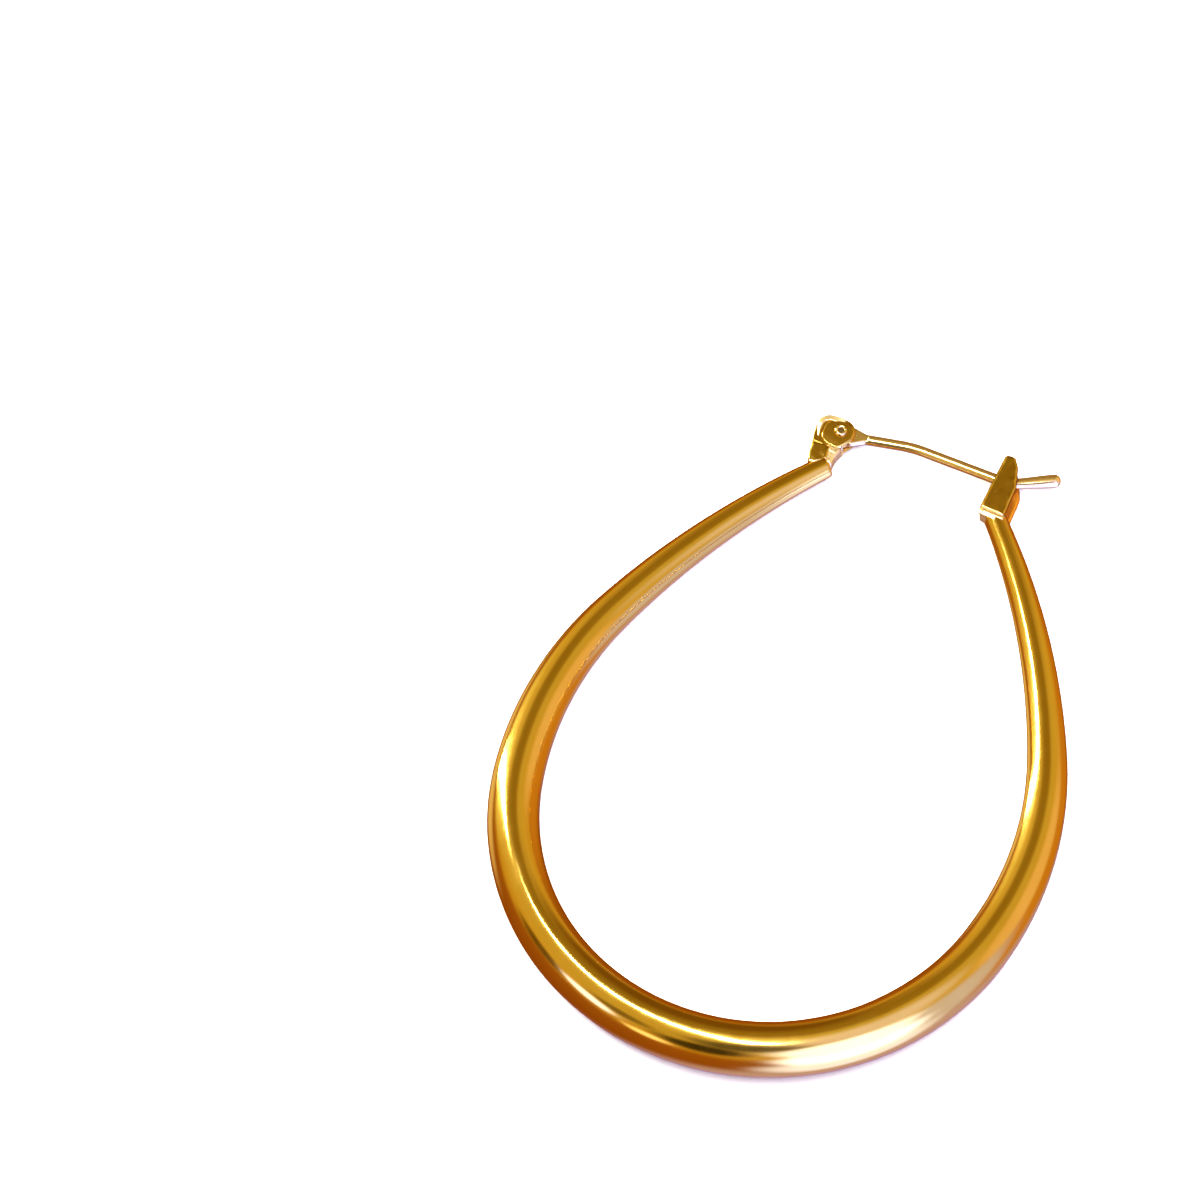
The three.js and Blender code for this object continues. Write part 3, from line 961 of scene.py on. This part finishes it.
@dataclass(frozen=True)
class Gold:
    """A gold plated finish: colours, gloss and how far polishing left it uneven, in millimetres."""
    name: str
    colour: Tone
    deep: Tone
    rim: Tone
    roughness: float
    spread: float
    wave: float
    grain: float
    scratches: float
    metallic: float = 1.0
    coat: float = 0.0
    coat_roughness: float = 0.1
    streak: tuple[float, float, float] = (0.5, 14.0, 1.0)

    def material(self) -> bpy.types.Material:
        """Builds the finish from noise in object coordinates and in millimetres along the piece.

        Returns:
            The material.
        """
        made = bpy.data.materials.new(self.name)
        made.use_nodes = True
        tree = made.node_tree
        shader = tree.nodes["Principled BSDF"]
        place = add_node(tree, "TexCoord", {})
        streak = add_node(tree, "Mapping", {"Vector": place.outputs["UV"], "Scale": self.streak})
        space, along = place.outputs["Object"], streak.outputs["Vector"]
        tone, gloss, wave, grain, lines = (
            add_node(tree, "TexNoise", {"Vector": along if kind == "lines" else space, "Scale": scale,
                                        "Detail": detail}).outputs["Fac"]
            for kind, (scale, detail) in NOISES.items())
        mix = add_node(tree, "Mix", {0: tone, 6: (*self.deep, 1), 7: (*self.colour, 1)}, data_type="RGBA")
        rough = add_node(tree, "MapRange", {"Value": gloss, "To Min": self.roughness - self.spread,
                                            "To Max": self.roughness + self.spread})
        below = {}
        for height, distance in ((wave, self.wave), (grain, self.grain), (lines, self.scratches)):
            below |= {"Height": height, "Strength": 1.0, "Distance": distance * MM}
            bump = add_node(tree, "Bump", below)
            below = {"Normal": bump.outputs["Normal"]}
        for name, socket in (("Base Color", mix.outputs[2]), ("Roughness", rough.outputs["Result"]),
                             ("Normal", below["Normal"])):
            tree.links.new(socket, shader.inputs[name])
        for name, value in (("Metallic", self.metallic), ("Coat Weight", self.coat),
                            ("Coat Roughness", self.coat_roughness), ("Specular Tint", (*self.rim, 1))):
            shader.inputs[name].default_value = value
        return made


HOOP_GOLD = Gold("hoop_gold", (0.93, 0.63, 0.16), (0.84, 0.54, 0.10), (0.85, 0.62, 0.36), 0.15, 0.05,
                 0.005, 0.0002, 0.0012, coat=0.5)
FITTING_GOLD = Gold("fitting_gold", (0.93, 0.66, 0.20), (0.62, 0.38, 0.06), (0.6, 0.36, 0.12), 0.17, 0.07,
                    0.010, 0.0006, 0.0002)
# Painted highlight: a pale cream gold with a diffuse share, so seams, solder and the neck look cream from
# every side, standing for the cream highlights along those edges.
SEAM_HIGHLIGHT_GOLD = Gold("seam_highlight_gold", (0.92, 0.76, 0.46), (0.84, 0.62, 0.30), (0.5, 0.32, 0.14), 0.24, 0.06,
                 0.006, 0.0004, 0.0002, metallic=0.84)
# Painted reflection: an orange gold with a diffuse share for the pieces inside the catch, standing for light
# bounced between its gold walls.
INSIDE_GLOW_GOLD = Gold("inside_glow_gold", (0.92, 0.42, 0.05), (0.66, 0.26, 0.03), (0.6, 0.3, 0.1), 0.35, 0.06,
                 0.006, 0.0004, 0.0002, metallic=0.75)
RIVET_GOLD = Gold("rivet_gold", (0.96, 0.80, 0.46), (0.9, 0.68, 0.3), (0.5, 0.3, 0.1), 0.13, 0.03,
                  0.001, 0.0002, 0.0)
# Painted shade: a dark finish for the disc that stands for the rivet's hollow bore.
CORE_SHADE = Gold("core_shade", (0.10, 0.06, 0.02), (0.05, 0.03, 0.01), (0.10, 0.06, 0.03), 0.5, 0.05,
                  0.0, 0.0002, 0.0, metallic=0.4)
WIRE_GOLD = Gold("wire_gold", (0.96, 0.76, 0.42), (0.88, 0.62, 0.28), (0.30, 0.16, 0.06), 0.12, 0.03,
                 0.001, 0.0002, 0.0004, metallic=0.96)


@dataclass
class Earring:
    """The whole earring, built and dressed piece by piece."""
    tube: Tube = Tube()
    bracket: Bracket = Bracket()
    catch: Catch = Catch()
    rivet: Rivet = Rivet()

    def dress(self, things: list[Thing], gold: bpy.types.Material, body: Body, node: str) -> None:
        """Gives pieces their finish, body, replaced node and slot.

        Args:
            things: The pieces.
            gold: Their material.
            body: The body they ride on.
            node: The CAD node they stand for.
        """
        for thing in things:
            thing.data.materials.append(gold)
            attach(thing, body.value)
            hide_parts(node)
            LOG.info("%s: %d faces on %s", thing.name, len(thing.data.polygons), body.value)

    def build(self) -> None:
        """Builds and dresses every piece."""
        fitting = FITTING_GOLD.material()
        tube = put_mesh("hoop_tube", self.tube.grid())
        self.dress([tube], HOOP_GOLD.material(), Body.HOOP, "hoop")
        seam, warm = SEAM_HIGHLIGHT_GOLD.material(), INSIDE_GLOW_GOLD.material()
        for thing in self.bracket.put() + self.catch.put():
            # Painted reflection: the back cheek and the web inside the catch get the orange inside-glow gold.
            inside = thing.name in ("catch_cheek_back", "catch_web")
            # Painted highlight: the seams, the solder and the bracket's neck get the pale seam gold.
            pale = "seam" in thing.name or thing.name == "bracket_neck"
            gold = seam if pale else warm if inside else fitting
            self.dress([thing], gold, Body.HOOP, "hoop")
        # The rivet gets a dark disc of painted shade in its dishes, for its hollow bore.
        rivet, painted_shade = put_mesh("rivet", self.rivet.grid()), put_mesh("rivet_painted_shade", self.rivet.painted_shade_grid())
        self.dress([rivet], RIVET_GOLD.material(), Body.HOOP, "hinge_rivet")
        self.dress([painted_shade], CORE_SHADE.material(), Body.HOOP, "hinge_rivet")
        self.dress(WIRE.put(), WIRE_GOLD.material(), Body.WIRE, "ear_wire")


@dataclass(frozen=True)
class Softbox:
    """A plain area light that faces the earring, placed by where it stands over the plane of the hoop."""
    name: str
    toward: tuple[float, float, float]
    width: float
    height: float
    power: float
    colour: Tone = (1.0, 1.0, 1.0)
    distance: float = 0.45
    roll: float = 0.0
    mirrored: bool = True

    def put(self, centre: np.ndarray) -> None:
        """Makes the light.

        Args:
            centre: What it faces, row frame, metres.
        """
        lamp = bpy.data.lights.new(self.name, "AREA")
        lamp.shape = "RECTANGLE"
        lamp.size, lamp.size_y = self.width, self.height
        lamp.energy = self.power
        lamp.color = self.colour
        thing = bpy.data.objects.new(self.name, lamp)
        away = Vector(LAYOUT.turn() @ np.array(self.toward)).normalized()
        facing = away.to_track_quat("Z", "Y").to_matrix().to_4x4()
        thing.matrix_world = (Matrix.Translation(Vector(centre) + away * self.distance) @ facing
                              @ Matrix.Rotation(math.radians(self.roll), 4, "Z"))
        thing.visible_glossy = self.mirrored
        bpy.context.scene.collection.objects.link(thing)


@dataclass(frozen=True)
class Patch:
    """A soft round patch of the room, such as a window or a dark wall, that the metal mirrors."""
    toward: tuple[float, float, float]
    inner: float
    outer: float
    tone: Tone

    def over(self, tree: Tree, direction: Socket,
             under: Socket) -> Socket:
        """Lays the patch over what is there, by the cosine of the angle to its middle.

        Args:
            tree: The room's nodes.
            direction: Where the room is looked at.
            under: The colour below the patch.

        Returns:
            The colour with the patch.
        """
        near = add_node(tree, "VectorMath", {0: direction, 1: Vector(self.toward).normalized()},
                        operation="DOT_PRODUCT")
        share = add_node(tree, "MapRange", {"Value": near.outputs["Value"],
                                            "From Min": math.cos(math.radians(self.outer)),
                                            "From Max": math.cos(math.radians(self.inner))},
                         interpolation_type="SMOOTHSTEP")
        layers = {0: share.outputs["Result"], 6: under, 7: (*self.tone, 1)}
        return add_node(tree, "Mix", layers, data_type="RGBA").outputs[2]


@dataclass(frozen=True)
class Studio:
    """Pale floor, soft lights and a long lens at the photograph's angle."""
    azimuth: float = 23.44
    elevation: float = 63.22
    roll: float = -1.968
    distance: float = 1.6
    frame_width: float = 81.18
    frame_centre: Spot = (-16.985, 28.625)
    earring_centre: Spot = (0.5, 23.0)
    sensor: float = 36.0
    floor_size: float = 1.6
    room_tones: tuple[tuple[float, Tone], ...] = (
        (0.0, (0.30, 0.11, 0.01)), (0.38, (0.34, 0.14, 0.02)), (0.50, (0.56, 0.37, 0.07)),
        (0.72, (0.60, 0.46, 0.13)), (1.0, (0.54, 0.44, 0.15)))
    patches: tuple[Patch, ...] = (
        Patch((-0.2, 0.47, 0.86), 8, 28, (0.30, 0.21, 0.03)),
        Patch((-0.2, 0.9, 0.38), 12, 34, (0.20, 0.11, 0.01)),
        Patch((0.78, 0.45, -0.42), 14, 46, (0.58, 0.30, 0.05)),
        Patch((0.85, 0.45, 0.27), 12, 30, (0.78, 0.58, 0.40)),
        Patch((0.30, -0.10, -0.95), 16, 42, (0.56, 0.50, 1.15)),
        Patch((0.92, -0.34, -0.17), 20, 42, (0.62, 0.64, 1.4)),
        Patch((0.50, -0.30, 0.81), 8, 34, (0.78, 0.75, 1.3)),
        Patch((-0.94, 0.30, 0.17), 5, 24, (0.74, 0.66, 0.28)),
        Patch((-0.78, 0.25, -0.57), 6, 22, (0.80, 0.70, 0.55)),
        Patch((-0.80, -0.52, 0.05), 3, 14, (0.16, 0.10, 0.01)),
        Patch((-0.42, -0.78, 0.46), 3, 13, (0.22, 0.17, 0.05)),
        Patch((0.0, -0.97, 0.26), 8, 19, (0.06, 0.045, 0.01)),
        Patch((0.16, -0.73, 0.67), 8, 20, (0.14, 0.12, 0.07)),
        Patch((-0.61, -0.78, 0.14), 5, 12, (1.6, 1.8, 4.6)),
        Patch((-0.29, -0.95, -0.05), 3, 9, (1.5, 1.3, 1.2)),
        Patch((0.56, -0.56, -0.62), 14, 28, (1.1, 1.3, 3.6)),
        Patch((0.70, -0.70, -0.17), 17, 28, (1.7, 2.1, 6.0)),
        Patch((0.67, -0.67, 0.31), 15, 27, (1.6, 1.9, 5.0)),
    )
    lights: tuple[Softbox, ...] = (
        Softbox("strip_side", (-0.92, 0.24, 0.28), 0.03, 0.48, 1.8, (0.9, 0.95, 1.0)),
        Softbox("strip_top", (-0.16, -0.19, 0.97), 0.034, 0.40, 1.4, (0.9, 0.95, 1.0), roll=90.0),
        Softbox("overhead", (0.05, 0.1, 1.0), 0.9, 0.9, 16.0, (1.0, 0.99, 0.95), distance=0.8,
                mirrored=False),
    )
    floor_tone: float = 0.93
    def floor(self) -> None:
        """A plain pale plane under the earring."""
        half = self.floor_size / 2
        mesh = bpy.data.meshes.new("floor")
        mesh.from_pydata([(-half, -half, 0), (half, -half, 0), (half, half, 0), (-half, half, 0)], [],
                         [(0, 1, 2, 3)])
        thing = bpy.data.objects.new("floor", mesh)
        bpy.context.scene.collection.objects.link(thing)
        pale = bpy.data.materials.new("pale_floor")
        pale.use_nodes = True
        shader = pale.node_tree.nodes["Principled BSDF"]
        shader.inputs["Base Color"].default_value = (*[self.floor_tone] * 3, 1)
        shader.inputs["Roughness"].default_value = 0.9
        shader.inputs["Specular IOR Level"].default_value = 0.0
        mesh.materials.append(pale)
        thing.visible_glossy = False

    def air(self) -> None:
        """A plain room: warm brown below the horizon, lighter above it, with soft patches laid over that.

        The colour ramp follows the height of a direction.
        """
        world = bpy.data.worlds.new("room")
        bpy.context.scene.world = world
        world.use_nodes = True
        tree = world.node_tree
        back = tree.nodes["Background"]
        place = add_node(tree, "TexCoord", {})
        around = place.outputs["Generated"]
        split = add_node(tree, "SeparateXYZ", {"Vector": around})
        height = add_node(tree, "MapRange", {"Value": split.outputs["Z"], "From Min": -1.0})
        room = add_node(tree, "ValToRGB", {"Fac": height.outputs["Result"]})
        stops = room.color_ramp.elements
        while len(stops) < len(self.room_tones):
            stops.new(0.5)
        for stop, (spot, tone) in zip(stops, self.room_tones):
            stop.position = spot
            stop.color = (*tone, 1)
        shown = room.outputs["Color"]
        for patch in self.patches:
            shown = patch.over(tree, around, shown)
        tree.links.new(shown, back.inputs["Color"])

    def camera(self) -> None:
        """A long lens over the earring, aimed at the middle of the photograph's frame."""
        a, e, r = (math.radians(v) for v in (self.azimuth, self.elevation, self.roll))
        toward = np.array([math.sin(a) * math.cos(e), -math.cos(a) * math.cos(e), math.sin(e)])
        level = np.array([math.cos(a), math.sin(a), 0.0])
        upright = np.cross(toward, level)
        up = LAYOUT.turn() @ (math.cos(r) * upright - math.sin(r) * level)
        middle = LAYOUT.to_row(np.array([*self.earring_centre, 0.0]))
        stand = middle + self.distance * (LAYOUT.turn() @ toward)
        back = stand - LAYOUT.to_row(np.array([*self.frame_centre, 0.0]))
        back /= np.linalg.norm(back)
        right = np.cross(up, back)
        right /= np.linalg.norm(right)
        up = np.cross(back, right)
        lens = bpy.data.cameras.new("camera")
        lens.sensor_width = self.sensor
        lens.lens = self.sensor * self.distance / (self.frame_width * MM)
        lens.clip_start, lens.clip_end = 0.01, 10.0
        thing = bpy.data.objects.new("camera", lens)
        turn = np.stack([right, up, back], axis=1)
        thing.matrix_world = Matrix.Translation(Vector(stand)) @ Matrix(turn.tolist()).to_4x4()
        bpy.context.scene.collection.objects.link(thing)
        bpy.context.scene.camera = thing

    def build(self) -> None:
        """Builds floor, lights, room and camera, and the plain colour transform."""
        centre = LAYOUT.to_row(np.array([*self.earring_centre, 0.0]))
        self.floor()
        for light in self.lights:
            light.put(centre)
        self.air()
        self.camera()
        view = bpy.context.scene.view_settings
        view.view_transform = "Standard"
        view.look = "Medium High Contrast"
        view.exposure = 0.0


def main() -> None:
    """Loads the frame and builds earring and studio."""
    logging.basicConfig(level=logging.INFO, format="%(name)s: %(message)s")
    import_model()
    Earring().build()
    Studio().build()


if __name__ == "__main__":
    main()
